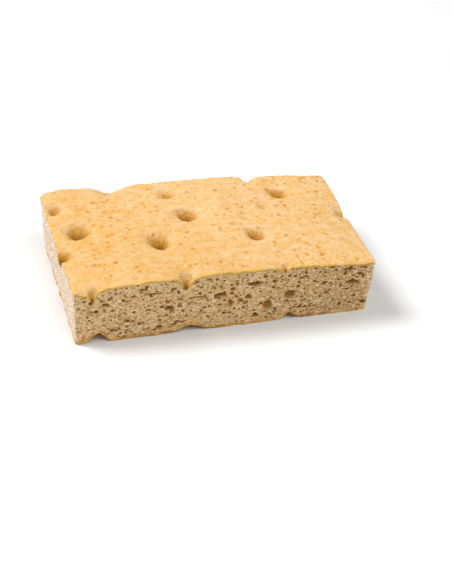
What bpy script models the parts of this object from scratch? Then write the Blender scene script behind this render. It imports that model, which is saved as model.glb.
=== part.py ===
"""One cut piece of focaccia, lying flat on its browned base.

A low block of bread with a domed crust on top, pressed with finger dimples. Its four sides are
knife cuts: they show the crumb with its gas bubbles, and they pass through the dimples that lie on
them. The base is flat, with a hollow under each dimple where the dough was pinned down.

Metres, +Z up. The origin is at the middle of the base, and +X runs along the long side. The near
cut, which faces -Y, is the one that shows most.
"""

import random
from collections import namedtuple
from math import cos, radians, sin

import bmesh
import bpy
import numpy as np
from mathutils import Vector, noise

MM = 0.001

# Driving sizes of the piece
CROWN = 34.5 * MM  # height of the crust in the middle
END_DROP = 3.6 * MM  # how much lower the crust is at the two short ends
SIDE_DROP = 0.9 * MM  # and along the two long sides
HALF_LENGTH = 75 * MM
HALF_WIDTH = 40 * MM
CORNER_ROUND = 1.2 * MM
FAR_LEFT_ROUND = 3.5 * MM  # this corner was pulled round as the dough rose

# Corners of the piece in plan. The cuts aren't quite square or upright.
Corner = namedtuple("Corner", "x y")
CRUST_CORNERS = {
    "near_left": Corner(-74.6 * MM, -40.7 * MM),
    "near_right": Corner(76.2 * MM, -40.9 * MM),
    "far_right": Corner(76.7 * MM, 38.2 * MM),
    "far_left": Corner(-76.0 * MM, 41.4 * MM),
}
BASE_CORNERS = {
    "near_left": Corner(-72.8 * MM, -41.4 * MM),
    "near_right": Corner(76.2 * MM, -40.0 * MM),
    "far_right": Corner(76.3 * MM, 37.7 * MM),
    "far_left": Corner(-73.6 * MM, 38.6 * MM),
}

# Finger dimples: deepest point, width at the rim, stretch, depth, and direction of a crease in degrees;
# then the height of the hollow that each leaves in the base, its width, and its place beside the dimple
Dimple = namedtuple("Dimple", "x y width stretch depth crease hollow hollow_width hollow_aside")
DIMPLES = [
    Dimple(-65.5 * MM, -40.4 * MM, 3.4 * MM, 1.0, 4.8 * MM, -90, 7.4 * MM, 8.5 * MM, 3.4 * MM),
    Dimple(-20.8 * MM, -40.4 * MM, 5.4 * MM, 1.0, 6.0 * MM, -90, 4.6 * MM, 16.0 * MM, 4.0 * MM),
    Dimple(28.6 * MM, -40.4 * MM, 3.6 * MM, 1.0, 2.2 * MM, -90, 4.6 * MM, 8.5 * MM, 5.4 * MM),
    Dimple(-74.0 * MM, -10.6 * MM, 7.6 * MM, 1.1, 6.0 * MM, -110, 3.0 * MM, 10.0 * MM, 0.0),
    Dimple(-26.4 * MM, -11.6 * MM, 8.2 * MM, 1.15, 7.0 * MM, -75, 3.4 * MM, 11.0 * MM, 1.0 * MM),
    Dimple(22.6 * MM, -12.4 * MM, 8.0 * MM, 1.2, 5.2 * MM, -100, 3.0 * MM, 10.0 * MM, -1.0 * MM),
    Dimple(75.0 * MM, 2.6 * MM, 7.6 * MM, 1.0, 3.0 * MM, -90, 2.4 * MM, 9.0 * MM, 0.0),
    Dimple(-63.2 * MM, 5.4 * MM, 8.8 * MM, 1.3, 6.6 * MM, -95, 3.8 * MM, 11.0 * MM, 0.5 * MM),
    Dimple(-7.5 * MM, 8.4 * MM, 7.4 * MM, 1.4, 6.0 * MM, -92, 3.2 * MM, 10.0 * MM, 0.0),
    Dimple(34.2 * MM, 10.3 * MM, 7.0 * MM, 1.2, 1.6 * MM, -90, 0.0, 8.0 * MM, 0.0),
    Dimple(46.0 * MM, 22.2 * MM, 7.6 * MM, 1.4, 5.2 * MM, -95, 2.8 * MM, 10.0 * MM, 0.0),
    Dimple(-71.4 * MM, 24.6 * MM, 6.4 * MM, 1.0, 3.8 * MM, -90, 2.6 * MM, 9.0 * MM, 0.0),
    Dimple(-12.5 * MM, 28.3 * MM, 7.2 * MM, 1.3, 3.4 * MM, -100, 2.2 * MM, 9.0 * MM, 0.0),
    Dimple(33.6 * MM, 38.0 * MM, 6.4 * MM, 1.0, 4.4 * MM, -90, 3.0 * MM, 10.0 * MM, 0.0),
    Dimple(-40.5 * MM, 40.6 * MM, 15.0 * MM, 1.1, 3.6 * MM, -90, 2.0 * MM, 11.0 * MM, 0.0),
]
PRESS_TURN = radians(-17)  # the fingers came from the near left, not square to the long side
PIT_SHARE = 0.40  # a pit's own radius, as a share of its rim width
PIT_POWER = 1.8  # under 2, so that a pit is a little pointed
FAR_WALL_REACH = 1.35  # how much further its far wall reaches than its near one
CREASE = 0.10  # how far its creases reach beyond it, as a share
BASIN_SHARE = 1.15  # the wide shallow basin round a pit, as a share of its rim width
BASIN_DEPTH_SHARE = 0.13

# Where the crust stands higher or lower than the even dome: middle, reach and height
Swell = namedtuple("Swell", "x y reach height")
SWELLS = [
    Swell(-77.0 * MM, -42.0 * MM, 4.0 * MM, 1.8 * MM),
    Swell(-68.5 * MM, -41.0 * MM, 5.0 * MM, -1.5 * MM),
    Swell(-67.0 * MM, 34.0 * MM, 15.0 * MM, 2.2 * MM),
    Swell(80.0 * MM, 30.0 * MM, 18.0 * MM, 1.0 * MM),
    Swell(78.0 * MM, -42.0 * MM, 10.0 * MM, 1.2 * MM),
    Swell(4.0 * MM, -26.0 * MM, 20.0 * MM, 0.7 * MM),
    Swell(-45.0 * MM, -22.0 * MM, 15.0 * MM, 0.6 * MM),
    Swell(14.0 * MM, 26.0 * MM, 18.0 * MM, 0.8 * MM),
]
RIPPLE_SIZE = 17 * MM
RIPPLE_HEIGHT = 0.35 * MM
HOLLOW_SHARE = 0.5  # a base hollow's radius, as a share of its width
HOLLOW_POWER = 1.3  # under 2, so that a hollow runs up to a point
HOLLOW_START = 0.45 * MM  # what is lower than this is pressed flat on the pan

# Gas bubbles that the cuts laid open: middle along the wall, height above the base, width, height
Bubble = namedtuple("Bubble", "along z width height")
NEAR_BUBBLES = [
    Bubble(-65.6 * MM, 18.2 * MM, 2.6 * MM, 1.9 * MM),
    Bubble(-59.2 * MM, 21.6 * MM, 3.8 * MM, 3.1 * MM),
    Bubble(-57.2 * MM, 25.0 * MM, 2.9 * MM, 2.7 * MM),
    Bubble(-48.5 * MM, 10.5 * MM, 3.3 * MM, 2.4 * MM),
    Bubble(-52.3 * MM, 6.0 * MM, 2.4 * MM, 2.6 * MM),
    Bubble(-48.6 * MM, 4.8 * MM, 2.4 * MM, 2.4 * MM),
    Bubble(-38.6 * MM, 16.0 * MM, 3.2 * MM, 2.0 * MM),
    Bubble(-36.5 * MM, 25.4 * MM, 10.5 * MM, 1.6 * MM),
    Bubble(-28.3 * MM, 15.6 * MM, 5.2 * MM, 3.8 * MM),
    Bubble(-27.0 * MM, 26.6 * MM, 3.0 * MM, 3.1 * MM),
    Bubble(-32.5 * MM, 4.4 * MM, 3.8 * MM, 3.4 * MM),
    Bubble(-25.2 * MM, 4.9 * MM, 3.4 * MM, 2.8 * MM),
    Bubble(-14.7 * MM, 20.6 * MM, 9.4 * MM, 1.7 * MM),
    Bubble(-12.0 * MM, 11.9 * MM, 2.5 * MM, 2.8 * MM),
    Bubble(-9.6 * MM, 30.4 * MM, 2.9 * MM, 2.0 * MM),
    Bubble(-3.4 * MM, 20.5 * MM, 6.8 * MM, 3.2 * MM),
    Bubble(2.9 * MM, 23.6 * MM, 3.6 * MM, 1.8 * MM),
    Bubble(2.7 * MM, 14.4 * MM, 3.3 * MM, 3.9 * MM),
    Bubble(7.2 * MM, 15.6 * MM, 2.9 * MM, 3.8 * MM),
    Bubble(11.1 * MM, 17.2 * MM, 3.6 * MM, 3.5 * MM),
    Bubble(13.6 * MM, 25.0 * MM, 7.2 * MM, 3.3 * MM),
    Bubble(16.2 * MM, 4.6 * MM, 4.2 * MM, 2.3 * MM),
    Bubble(21.8 * MM, 10.4 * MM, 4.6 * MM, 7.4 * MM),
    Bubble(32.8 * MM, 15.6 * MM, 5.6 * MM, 6.2 * MM),
    Bubble(39.9 * MM, 10.4 * MM, 2.9 * MM, 2.9 * MM),
    Bubble(42.5 * MM, 6.6 * MM, 10.5 * MM, 1.6 * MM),
    Bubble(37.9 * MM, 25.6 * MM, 3.5 * MM, 2.1 * MM),
    Bubble(53.6 * MM, 20.0 * MM, 2.9 * MM, 2.6 * MM),
    Bubble(61.9 * MM, 28.0 * MM, 5.4 * MM, 2.6 * MM),
    Bubble(65.2 * MM, 19.4 * MM, 7.4 * MM, 3.1 * MM),
    Bubble(68.4 * MM, 24.3 * MM, 4.2 * MM, 2.0 * MM),
]
OTHER_WALL_BUBBLES = {"far": 30, "left": 15, "right": 15}
BUBBLE_WIDTHS = (2.4 * MM, 6.5 * MM)
SMALL_BUBBLE_BIAS = 2.2  # over 1, so that most of the bubbles are small ones
BUBBLE_FLATNESS = (0.4, 0.95)
BUBBLE_MARGIN = 3.5 * MM  # solid crumb left between a bubble and the corners, the crust and the base
BUBBLE_GAP = 1.0 * MM
DEEPEST_BUBBLE = 1.6  # how deep a flat bubble reaches, for its height
TRIES_PER_BUBBLE = 40
BUBBLE_SEED = 31

KNIFE_WAVE = 0.4 * MM  # how far a cut wanders
KNIFE_WAVE_LENGTH = 24 * MM

# The block's lattice before it is thinned out, and the share of its triangles that stays
LATTICE_PITCH = 0.6 * MM
KEPT_SHARE = 0.048
PAN_TOUCH = 0.05 * MM  # what the thinning leaves this close to the pan is pressed down onto it
TINY = 1e-6  # what counts as no distance at all on the unit block

CRUMB_COLOUR = (0.58, 0.43, 0.25, 1.0)
CRUMB_ROUGHNESS = 0.85


def clear_scene():
    """Empties the startup scene."""
    for found in list(bpy.data.objects):
        bpy.data.objects.remove(found, do_unlink=True)


def bread_material():
    """Baked crumb: a matt, warm tan."""
    material = bpy.data.materials.new("crumb")
    material.use_nodes = True
    shader = material.node_tree.nodes["Principled BSDF"]
    shader.inputs["Base Color"].default_value = CRUMB_COLOUR
    shader.inputs["Roughness"].default_value = CRUMB_ROUGHNESS
    shader.inputs["Metallic"].default_value = 0.0
    return material


def bell(distance, reach):
    """A smooth bump that is 1 in the middle and fades past its reach."""
    return np.exp(-((distance / reach) ** 2))


def pit_share(dimple, x, y):
    """How deep in a dimple's pit a plan point lies, from 1 at its deepest to 0 outside it.

    The finger leant, so the near wall of a pit is steep and its far wall slopes. Three creases run
    out from its bottom.
    """
    right, far = x - dimple.x, y - dimple.y
    to_right = (right * cos(PRESS_TURN) + far * sin(PRESS_TURN)) / dimple.stretch
    to_far = far * cos(PRESS_TURN) - right * sin(PRESS_TURN)
    to_far = np.where(to_far > 0, to_far / FAR_WALL_REACH, to_far)
    turn = np.arctan2(to_far, to_right) - radians(dimple.crease)
    reach = dimple.width * PIT_SHARE * (1 + CREASE * np.cos(3 * turn))
    return np.exp(-((np.hypot(to_right, to_far) / reach) ** PIT_POWER))


def crust_height(x, y):
    """Height of the crust over a point of the plan: a low dome with swells, ripples and dimples."""
    height = CROWN - END_DROP * np.abs(x / HALF_LENGTH) ** 3 - SIDE_DROP * (y / HALF_WIDTH) ** 4
    for swell in SWELLS:
        height += swell.height * bell(np.hypot(x - swell.x, y - swell.y), swell.reach)
    ripples = [noise.noise(Vector((a, b, 0.0)) / RIPPLE_SIZE) for a, b in zip(x, y)]
    height += RIPPLE_HEIGHT * np.array(ripples)
    for dimple in DIMPLES:
        away = np.hypot((x - dimple.x) / dimple.stretch, y - dimple.y)
        height -= dimple.depth * pit_share(dimple, x, y)
        height -= dimple.depth * BASIN_DEPTH_SHARE * bell(away, dimple.width * BASIN_SHARE)
    return height


def base_height(x, y):
    """Height of the underside: flat on the pan, with a pointed hollow under each dimple."""
    hollows = np.zeros_like(x)
    for dimple in DIMPLES:
        away = np.hypot(x - dimple.x - dimple.hollow_aside, y - dimple.y)
        reach = dimple.hollow_width * HOLLOW_SHARE
        hollows += dimple.hollow * np.exp(-((away / reach) ** HOLLOW_POWER))
    return np.maximum(hollows - HOLLOW_START, 0.0)


def unit_block(columns, rows, levels):
    """A closed block one unit a side: a grid of quads, extruded upwards, with its sides cut into levels."""
    block = bmesh.new()
    bmesh.ops.create_grid(block, x_segments=columns, y_segments=rows, size=0.5)
    lifted = bmesh.ops.extrude_face_region(block, geom=block.faces[:], use_keep_orig=True)
    lid = [item for item in lifted["geom"] if isinstance(item, bmesh.types.BMVert)]
    bmesh.ops.translate(block, verts=lid, vec=(0.0, 0.0, 1.0))
    uprights = [edge for edge in block.edges if edge.verts[0].co.z != edge.verts[1].co.z]
    bmesh.ops.subdivide_edges(block, edges=uprights, cuts=levels - 1, use_grid_fill=True)
    bmesh.ops.recalc_face_normals(block, faces=block.faces[:])
    return block


def rounded_corners(across, along):
    """Moves plan points of the unit block so that its upright corners become arcs."""
    radius = np.where((across < 0) & (along > 0), FAR_LEFT_ROUND, CORNER_ROUND)
    width, depth = 2 * HALF_LENGTH, 2 * HALF_WIDTH
    into_x = np.abs(across) * width - (HALF_LENGTH - radius)
    into_y = np.abs(along) * depth - (HALF_WIDTH - radius)
    inside = (into_x > 0) & (into_y > 0)
    reach = np.hypot(into_x, into_y)
    pull = np.where(inside, np.maximum(into_x, into_y) / np.maximum(reach, TINY * MM), 1.0)
    new_x = np.where(inside, HALF_LENGTH - radius + into_x * pull, np.abs(across) * width)
    new_y = np.where(inside, HALF_WIDTH - radius + into_y * pull, np.abs(along) * depth)
    return np.sign(across) * new_x / width, np.sign(along) * new_y / depth


def between_corners(corners, across, along):
    """A plan point at shares across and along of the four-cornered outline, each from -0.5 to 0.5."""
    right, far = across + 0.5, along + 0.5
    left, near = 1 - right, 1 - far
    return [
        near * (left * corners["near_left"][axis] + right * corners["near_right"][axis])
        + far * (left * corners["far_left"][axis] + right * corners["far_right"][axis])
        for axis in (0, 1)
    ]


def scattered_bubbles(count, half_span, draw):
    """Bubbles for a wall that hides from the near side, kept clear of each other and of the edges."""
    chosen = []
    for _ in range(count * TRIES_PER_BUBBLE):
        if len(chosen) == count:
            break
        narrowest, widest = BUBBLE_WIDTHS
        width = narrowest + (widest - narrowest) * draw.random() ** SMALL_BUBBLE_BIAS
        height = width * draw.uniform(*BUBBLE_FLATNESS)
        along = draw.uniform(-1, 1) * (half_span - BUBBLE_MARGIN - width / 2)
        lowest = BUBBLE_MARGIN + height / 2
        z = draw.uniform(lowest, CROWN - END_DROP - lowest)
        bubble = Bubble(along, z, width, height)
        if all(
            abs(along - other.along) > (width + other.width) / 2 + BUBBLE_GAP
            or abs(z - other.z) > (height + other.height) / 2 + BUBBLE_GAP
            for other in chosen
        ):
            chosen.append(bubble)
    return chosen


def pressed_crumb(bubble, dimples_on_wall):
    """True where a bubble would lie in the dense crumb under a dimple or in a hollow of the base."""
    return any(
        abs(bubble.along - place) < (bubble.width + width) / 2
        and (bubble.z > CROWN - depth - 2 * BUBBLE_MARGIN or bubble.z < hollow + BUBBLE_MARGIN)
        for place, width, depth, hollow in dimples_on_wall
    )


def bubble_depth(along, z, bubbles):
    """How deep the open bubbles reach behind a wall at each of its points."""
    depth = np.zeros_like(along)
    for bubble in bubbles:
        radius = min(bubble.width, DEEPEST_BUBBLE * bubble.height) / 2
        in_plane = ((along - bubble.along) / (bubble.width / 2)) ** 2
        in_plane += ((z - bubble.z) / (bubble.height / 2)) ** 2
        depth = np.maximum(depth, radius * np.sqrt(np.maximum(1 - in_plane, 0.0)))
    return depth


def wall_relief(x, y, z, across, along):
    """Moves the points of the four cut sides inwards: the knife's slow wave, and the open bubbles."""
    draw = random.Random(BUBBLE_SEED)
    edge = 0.5 - TINY
    walls = {
        "near": (along < -edge, x, 1, 1.0, HALF_LENGTH),
        "far": (along > edge, x, 1, -1.0, HALF_LENGTH),
        "left": (across < -edge, y, 0, 1.0, HALF_WIDTH),
        "right": (across > edge, y, 0, -1.0, HALF_WIDTH),
    }
    moves = [np.zeros_like(x), np.zeros_like(y)]
    for name, (on_wall, span, axis, inwards, half_span) in walls.items():
        line = {"near": -HALF_WIDTH, "far": HALF_WIDTH, "left": -HALF_LENGTH, "right": HALF_LENGTH}[name]
        pressed = [
            (dimple[1 - axis], dimple.width, dimple.depth, dimple.hollow)
            for dimple in DIMPLES
            if abs(dimple[axis] - line) < dimple.width / 2
        ]
        if name == "near":
            bubbles = NEAR_BUBBLES
        else:
            bubbles = scattered_bubbles(OTHER_WALL_BUBBLES[name], half_span, draw)
            bubbles = [bubble for bubble in bubbles if not pressed_crumb(bubble, pressed)]
        from_corner = half_span - np.abs(span)
        clear = np.clip((from_corner - CORNER_ROUND) / BUBBLE_MARGIN, 0.0, 1.0)
        wander = [noise.noise(Vector((a, b, line)) / KNIFE_WAVE_LENGTH) for a, b in zip(span, z)]
        wave = KNIFE_WAVE * (0.5 + 0.5 * np.array(wander)) * clear
        pulled = wave + bubble_depth(span, z, bubbles) * (clear > 0)
        moves[axis] += np.where(on_wall, inwards * pulled, 0.0)
    return x + moves[0], y + moves[1]


def bread_form(block):
    """Gives every point of the unit block its place on the bread."""
    shares = np.array([point.co for point in block.verts])
    across, along, up = shares[:, 0], shares[:, 1], shares[:, 2]
    round_across, round_along = rounded_corners(across, along)
    crust_x, crust_y = between_corners(CRUST_CORNERS, round_across, round_along)
    base_x, base_y = between_corners(BASE_CORNERS, round_across, round_along)
    x = base_x + (crust_x - base_x) * up
    y = base_y + (crust_y - base_y) * up
    bottom = base_height(base_x, base_y)
    z = bottom + (crust_height(crust_x, crust_y) - bottom) * up
    between = (up > TINY) & (up < 1 - TINY)
    cut_x, cut_y = wall_relief(x, y, z, across, along)
    x, y = np.where(between, cut_x, x), np.where(between, cut_y, y)
    for point, place in zip(block.verts, np.column_stack((x, y, z))):
        point.co = place


def thinned(thick_mesh):
    """A copy of a mesh with fewer triangles where it is flat."""
    guide = bpy.data.objects.new("guide", thick_mesh)
    bpy.context.scene.collection.objects.link(guide)
    thinning = guide.modifiers.new("thin out the flat stretches", "DECIMATE")
    thinning.ratio = KEPT_SHARE
    thinning.use_collapse_triangulate = True
    evaluated = guide.evaluated_get(bpy.context.evaluated_depsgraph_get())
    mesh = bpy.data.meshes.new_from_object(evaluated)
    bpy.data.objects.remove(guide)
    return mesh


def build_focaccia():
    """The whole piece of bread as one solid, resting level on its base."""
    columns, rows, levels = (
        round(size / LATTICE_PITCH) for size in (2 * HALF_LENGTH, 2 * HALF_WIDTH, CROWN)
    )
    block = unit_block(columns, rows, levels)
    bread_form(block)
    lattice = bpy.data.meshes.new("lattice")
    block.to_mesh(lattice)
    block.free()
    mesh = thinned(lattice)
    mesh.name = "focaccia"
    for point in mesh.vertices:
        if point.co.z < PAN_TOUCH:
            point.co.z = 0.0
    mesh.shade_smooth()
    mesh.materials.append(bread_material())
    bread = bpy.data.objects.new("focaccia", mesh)
    bpy.context.scene.collection.objects.link(bread)


clear_scene()
build_focaccia()
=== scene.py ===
"""The looks of one cut piece of focaccia: a golden dimpled crust, open crumb and a browned base.

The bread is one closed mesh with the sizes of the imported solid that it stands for. Geometry Nodes
lay open the gas bubbles that the knife cut through, wrinkle the crust, and sow bran flecks, pale
grains and crumbs over it. Metres, +Z up; the near cut faces -Y.
"""

import random
from collections import namedtuple
from math import cos, radians, sin

import bpy
import numpy as np
from mathutils import Matrix, Vector, noise


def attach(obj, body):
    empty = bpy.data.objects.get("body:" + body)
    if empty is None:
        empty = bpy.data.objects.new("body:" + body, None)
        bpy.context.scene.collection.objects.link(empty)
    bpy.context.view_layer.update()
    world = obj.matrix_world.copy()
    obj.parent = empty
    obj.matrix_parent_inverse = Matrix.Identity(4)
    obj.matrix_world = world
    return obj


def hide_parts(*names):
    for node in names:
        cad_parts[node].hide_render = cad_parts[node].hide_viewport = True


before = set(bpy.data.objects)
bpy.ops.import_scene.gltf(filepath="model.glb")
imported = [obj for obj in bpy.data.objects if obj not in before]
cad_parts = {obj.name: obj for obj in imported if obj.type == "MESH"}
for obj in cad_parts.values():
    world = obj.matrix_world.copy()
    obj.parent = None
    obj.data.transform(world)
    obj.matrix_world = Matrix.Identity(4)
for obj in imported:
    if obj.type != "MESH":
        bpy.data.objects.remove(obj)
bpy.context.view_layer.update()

MM = 0.001

RIGHT = (1.0, 0.0, 0.0)
NEAR = (0.0, -1.0, 0.0)
ON_WALL = (0.3, 0.9)  # how far an inward arrow reaches across, in a rounded corner and on the wall
ELSEWHERE = (1.0, 1.0, 1.0)  # a shift that gives a noise other features

# Driving sizes of the bread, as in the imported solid
CROWN = 34.5 * MM
END_DROP = 3.6 * MM
SIDE_DROP = 0.9 * MM
HALF_LENGTH = 75 * MM
HALF_WIDTH = 40 * MM
CORNER_ROUND = 1.2 * MM
FAR_LEFT_ROUND = 3.5 * MM

Corner = namedtuple("Corner", "x y")
CRUST_CORNERS = {
    "near_left": Corner(-74.6 * MM, -40.7 * MM),
    "near_right": Corner(76.2 * MM, -40.9 * MM),
    "far_right": Corner(76.7 * MM, 38.2 * MM),
    "far_left": Corner(-76.0 * MM, 41.4 * MM),
}
BASE_CORNERS = {
    "near_left": Corner(-72.8 * MM, -41.4 * MM),
    "near_right": Corner(76.2 * MM, -40.0 * MM),
    "far_right": Corner(76.3 * MM, 37.7 * MM),
    "far_left": Corner(-73.6 * MM, 38.6 * MM),
}

# Finger dimples: where each is, its width, how much longer it is than wide, its depth, which way one
# of its creases runs in degrees, and how deep, how wide and how far aside its hollow in the base is
Dimple = namedtuple("Dimple", "x y width stretch depth crease hollow hollow_width hollow_aside")
DIMPLES = [
    Dimple(-65.5 * MM, -40.4 * MM, 3.4 * MM, 1.0, 4.8 * MM, -90, 7.4 * MM, 8.5 * MM, 3.4 * MM),
    Dimple(-20.8 * MM, -40.4 * MM, 5.4 * MM, 1.0, 6.0 * MM, -90, 4.6 * MM, 16.0 * MM, 4.0 * MM),
    Dimple(28.6 * MM, -40.4 * MM, 3.6 * MM, 1.0, 2.2 * MM, -90, 4.6 * MM, 8.5 * MM, 5.4 * MM),
    Dimple(-74.0 * MM, -10.6 * MM, 7.6 * MM, 1.1, 6.0 * MM, -110, 3.0 * MM, 10.0 * MM, 0.0),
    Dimple(-26.4 * MM, -11.6 * MM, 8.2 * MM, 1.15, 7.0 * MM, -75, 3.4 * MM, 11.0 * MM, 1.0 * MM),
    Dimple(22.6 * MM, -12.4 * MM, 8.0 * MM, 1.2, 5.2 * MM, -100, 3.0 * MM, 10.0 * MM, -1.0 * MM),
    Dimple(75.0 * MM, 2.6 * MM, 7.6 * MM, 1.0, 3.0 * MM, -90, 2.4 * MM, 9.0 * MM, 0.0),
    Dimple(-63.2 * MM, 5.4 * MM, 8.8 * MM, 1.3, 6.6 * MM, -95, 3.8 * MM, 11.0 * MM, 0.5 * MM),
    Dimple(-7.5 * MM, 8.4 * MM, 7.4 * MM, 1.4, 6.0 * MM, -92, 3.2 * MM, 10.0 * MM, 0.0),
    Dimple(34.2 * MM, 10.3 * MM, 7.0 * MM, 1.2, 1.6 * MM, -90, 0.0, 8.0 * MM, 0.0),
    Dimple(46.0 * MM, 22.2 * MM, 7.6 * MM, 1.4, 5.2 * MM, -95, 2.8 * MM, 10.0 * MM, 0.0),
    Dimple(-71.4 * MM, 24.6 * MM, 6.4 * MM, 1.0, 3.8 * MM, -90, 2.6 * MM, 9.0 * MM, 0.0),
    Dimple(-12.5 * MM, 28.3 * MM, 7.2 * MM, 1.3, 3.4 * MM, -100, 2.2 * MM, 9.0 * MM, 0.0),
    Dimple(33.6 * MM, 38.0 * MM, 6.4 * MM, 1.0, 4.4 * MM, -90, 3.0 * MM, 10.0 * MM, 0.0),
    Dimple(-40.5 * MM, 40.6 * MM, 15.0 * MM, 1.1, 3.6 * MM, -90, 2.0 * MM, 11.0 * MM, 0.0),
]
PRESS_TURN = radians(-17)  # the fingers pressed askew to the cuts
PIT_SHARE = 0.40  # the reach of a pit, as a share of its dimple's width
PIT_POWER = 1.8
FAR_WALL_REACH = 1.35
CREASE = 0.10
BASIN_SHARE = 1.15  # the same for the shallow basin around a pit
BASIN_DEPTH_SHARE = 0.13
DEEP_PIT = 6 * MM

# Broad swells and dips of the crust
Swell = namedtuple("Swell", "x y reach height")
SWELLS = [
    Swell(-77.0 * MM, -42.0 * MM, 4.0 * MM, 1.8 * MM),
    Swell(-68.5 * MM, -41.0 * MM, 5.0 * MM, -1.5 * MM),
    Swell(-67.0 * MM, 34.0 * MM, 15.0 * MM, 2.2 * MM),
    Swell(80.0 * MM, 30.0 * MM, 18.0 * MM, 1.0 * MM),
    Swell(78.0 * MM, -42.0 * MM, 10.0 * MM, 1.2 * MM),
    Swell(4.0 * MM, -26.0 * MM, 20.0 * MM, 0.7 * MM),
    Swell(-45.0 * MM, -22.0 * MM, 15.0 * MM, 0.6 * MM),
    Swell(14.0 * MM, 26.0 * MM, 18.0 * MM, 0.8 * MM),
]
RIPPLE_SIZE = 17 * MM
RIPPLE_HEIGHT = 0.35 * MM
HOLLOW_SHARE = 0.5
HOLLOW_POWER = 1.3
HOLLOW_START = 0.45 * MM

# The largest gas bubbles that the near cut laid open: where their middles are along the cut and up
# from the base, and how wide and tall they are
Bubble = namedtuple("Bubble", "along z width height")
NEAR_BUBBLES = [
    Bubble(-65.6 * MM, 18.2 * MM, 2.6 * MM, 1.9 * MM),
    Bubble(-59.2 * MM, 21.6 * MM, 3.8 * MM, 3.1 * MM),
    Bubble(-57.2 * MM, 25.0 * MM, 2.9 * MM, 2.7 * MM),
    Bubble(-48.5 * MM, 10.5 * MM, 3.3 * MM, 2.4 * MM),
    Bubble(-52.3 * MM, 6.0 * MM, 2.4 * MM, 2.6 * MM),
    Bubble(-48.6 * MM, 4.8 * MM, 2.4 * MM, 2.4 * MM),
    Bubble(-38.6 * MM, 16.0 * MM, 3.2 * MM, 2.0 * MM),
    Bubble(-36.5 * MM, 25.4 * MM, 10.5 * MM, 1.6 * MM),
    Bubble(-28.3 * MM, 15.6 * MM, 5.2 * MM, 3.8 * MM),
    Bubble(-27.0 * MM, 26.6 * MM, 3.0 * MM, 3.1 * MM),
    Bubble(-32.5 * MM, 4.4 * MM, 3.8 * MM, 3.4 * MM),
    Bubble(-25.2 * MM, 4.9 * MM, 3.4 * MM, 2.8 * MM),
    Bubble(-14.7 * MM, 20.6 * MM, 9.4 * MM, 1.7 * MM),
    Bubble(-12.0 * MM, 11.9 * MM, 2.5 * MM, 2.8 * MM),
    Bubble(-9.6 * MM, 30.4 * MM, 2.9 * MM, 2.0 * MM),
    Bubble(-3.4 * MM, 20.5 * MM, 6.8 * MM, 3.2 * MM),
    Bubble(2.9 * MM, 23.6 * MM, 3.6 * MM, 1.8 * MM),
    Bubble(2.7 * MM, 14.4 * MM, 3.3 * MM, 3.9 * MM),
    Bubble(7.2 * MM, 15.6 * MM, 2.9 * MM, 3.8 * MM),
    Bubble(11.1 * MM, 17.2 * MM, 3.6 * MM, 3.5 * MM),
    Bubble(13.6 * MM, 25.0 * MM, 7.2 * MM, 3.3 * MM),
    Bubble(16.2 * MM, 4.6 * MM, 4.2 * MM, 2.3 * MM),
    Bubble(21.8 * MM, 10.4 * MM, 4.6 * MM, 7.4 * MM),
    Bubble(32.8 * MM, 15.6 * MM, 5.6 * MM, 6.2 * MM),
    Bubble(39.9 * MM, 10.4 * MM, 2.9 * MM, 2.9 * MM),
    Bubble(42.5 * MM, 6.6 * MM, 10.5 * MM, 1.6 * MM),
    Bubble(37.9 * MM, 25.6 * MM, 3.5 * MM, 2.1 * MM),
    Bubble(53.6 * MM, 20.0 * MM, 2.9 * MM, 2.6 * MM),
    Bubble(61.9 * MM, 28.0 * MM, 5.4 * MM, 2.6 * MM),
    Bubble(65.2 * MM, 19.4 * MM, 7.4 * MM, 3.1 * MM),
    Bubble(68.4 * MM, 24.3 * MM, 4.2 * MM, 2.0 * MM),
]
OTHER_WALL_BUBBLES = {"far": 30, "left": 15, "right": 15}
BUBBLE_WIDTHS = (2.4 * MM, 6.5 * MM)
SMALL_BUBBLE_BIAS = 2.2
BUBBLE_FLATNESS = (0.4, 0.95)
BUBBLE_MARGIN = 3.5 * MM
BUBBLE_GAP = 1.0 * MM
DEEPEST_BUBBLE = 1.8  # a whole bubble is at most this many heights deep
ROOF_SHARE = 0.4  # a bubble is deeper under its roof than over its floor
TRIES_PER_BUBBLE = 40
BUBBLE_SEED = 31

# The dense crumb that is pressed together between a dimple and its hollow
PRESSED_UNDER_PIT = 9 * MM
PRESSED_OVER_HOLLOW = 4 * MM
PRESSED_SHARE = 0.34  # its reach, as a share of the dimple's width
PRESSED_SHUT = (0.15, 0.75)  # how dense it is where the pores begin to close, and where none is left

# How far below the crust and above the base the open crumb begins, and where it is fully open
OPEN_BELOW_CRUST = (0.35 * MM, 0.9 * MM)
OPEN_ABOVE_BASE = (0.4 * MM, 1.0 * MM)

# The lattice that the relief is worked into, and the triangles that the finished bread keeps
LATTICE_PITCH = 0.38 * MM
LEVEL_PITCH = 0.29 * MM
BREAD_TRIANGLES = 196000
TINY = 1e-6
SHARP_ANGLE = radians(48)

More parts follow.
